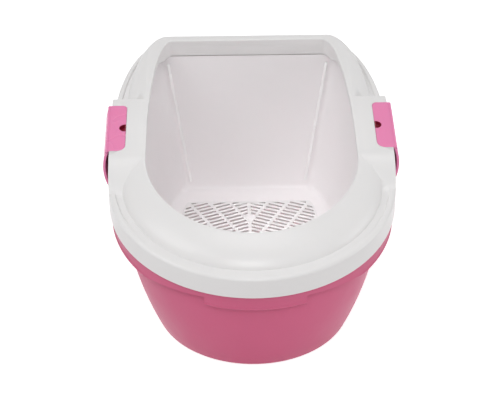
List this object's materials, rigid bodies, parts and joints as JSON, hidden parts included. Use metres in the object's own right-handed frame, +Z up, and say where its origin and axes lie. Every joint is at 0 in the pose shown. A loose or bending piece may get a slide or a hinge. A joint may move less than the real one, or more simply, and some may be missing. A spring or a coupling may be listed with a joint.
{
  "type": "top entry litter box",
  "caption": "Top entry litter box: sloping catch tub, sifting tray with a slotted floor, and a splash hood clipped on at both sides.",
  "frame": {"origin": "middle of the footprint's bounding box, on the floor", "axes": "+Z up, +Y from the low front to the high back wall, +X to the right seen from the front"},
  "size_m": [0.4202, 0.522, 0.2827],
  "materials": {
    "tub_pink": "satin moulded polypropylene, deep rose",
    "tray_white": "fine matte moulded polypropylene, warm white",
    "hood_white": "satin moulded polypropylene, white",
    "latch_pink": "satin moulded polypropylene, light rose"
  },
  "bodies": {
    "base": {"base_tub": "tub_pink"},
    "tray": {"sieve_tray": "tray_white", "sieve_floor": "tray_white"},
    "hood": {"hood": "hood_white", "latch_plate_left": "latch_pink", "latch_plate_right": "latch_pink"},
    "latch_left": {"latch_arm_left": "latch_pink"},
    "latch_right": {"latch_arm_right": "latch_pink"}
  },
  "joints": [
    {"name": "hood_lift", "type": "slide", "parent": "base", "child": "hood", "axis": [0, 0, 1], "range_m": [0, 0.3]},
    {"name": "tray_lift", "type": "slide", "parent": "base", "child": "tray", "axis": [0, 0, 1], "range_m": [0, 0.225]},
    {"name": "latch_left_swing", "type": "hinge", "parent": "hood", "child": "latch_left", "pos_m": [-0.203, -0.0042, 0.2292], "axis": [0, 0.9792, 0.2028], "range_deg": [0, 120]},
    {"name": "latch_right_swing", "type": "hinge", "parent": "hood", "child": "latch_right", "pos_m": [0.203, -0.0042, 0.2292], "axis": [0, -0.9792, -0.2028], "range_deg": [0, 120]}
  ],
  "couplings": [
    {"joint": "tray_lift", "follows": "hood_lift", "ratio": 0.75},
    {"joint": "latch_left_swing", "follows": "hood_lift", "rad_per_m": 6.98},
    {"joint": "latch_right_swing", "follows": "hood_lift", "rad_per_m": 6.98}
  ]
}
